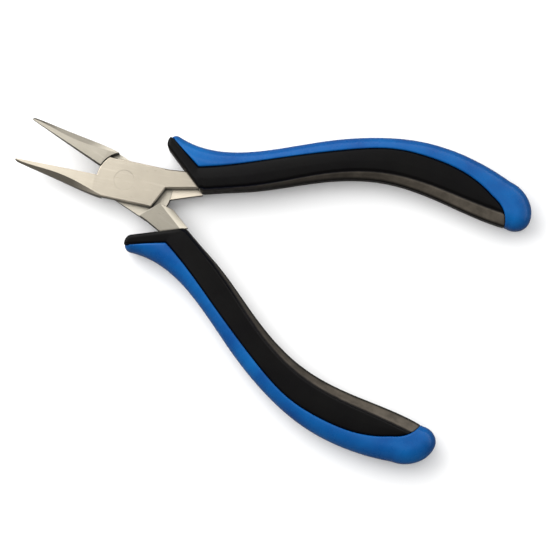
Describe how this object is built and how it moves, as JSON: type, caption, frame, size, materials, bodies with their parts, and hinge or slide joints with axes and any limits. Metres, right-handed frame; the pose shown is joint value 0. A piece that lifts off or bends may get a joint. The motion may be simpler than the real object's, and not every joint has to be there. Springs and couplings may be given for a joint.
{
  "type": "needle nose pliers",
  "caption": "Small lap-joint needle nose pliers with smooth tapered jaws, a flush rivet and curved two-colour handle grips with finger guards.",
  "frame": {"origin": "on the pivot axis, in the ground rear face of the joint", "axes": "+Z along the pivot axis from the rear face to the front face, +X between the jaws towards their tips, +Y completes the frame; the tool lies part open"},
  "size_m": [0.1268, 0.0806, 0.0104],
  "materials": {
    "steel": "ground and satin nickel plated",
    "rivet_steel": "ground flush with the joint",
    "black_grip": "smooth, slight sheen",
    "blue_grip": "soft satin gloss"
  },
  "bodies": {
    "front_plier_half": {"front_half": "steel", "pivot_rivet": "rivet_steel", "front_grip_sleeve": "black_grip", "front_grip_shell": "blue_grip"},
    "rear_plier_half": {"rear_half": "steel", "rear_grip_sleeve": "black_grip", "rear_grip_shell": "blue_grip"}
  },
  "joints": [
    {"name": "pivot", "type": "hinge", "parent": "front_plier_half", "child": "rear_plier_half", "pos_m": [0, 0, 0.0034], "axis": [0, 0, 1], "range_deg": [-20, 21.8]}
  ]
}
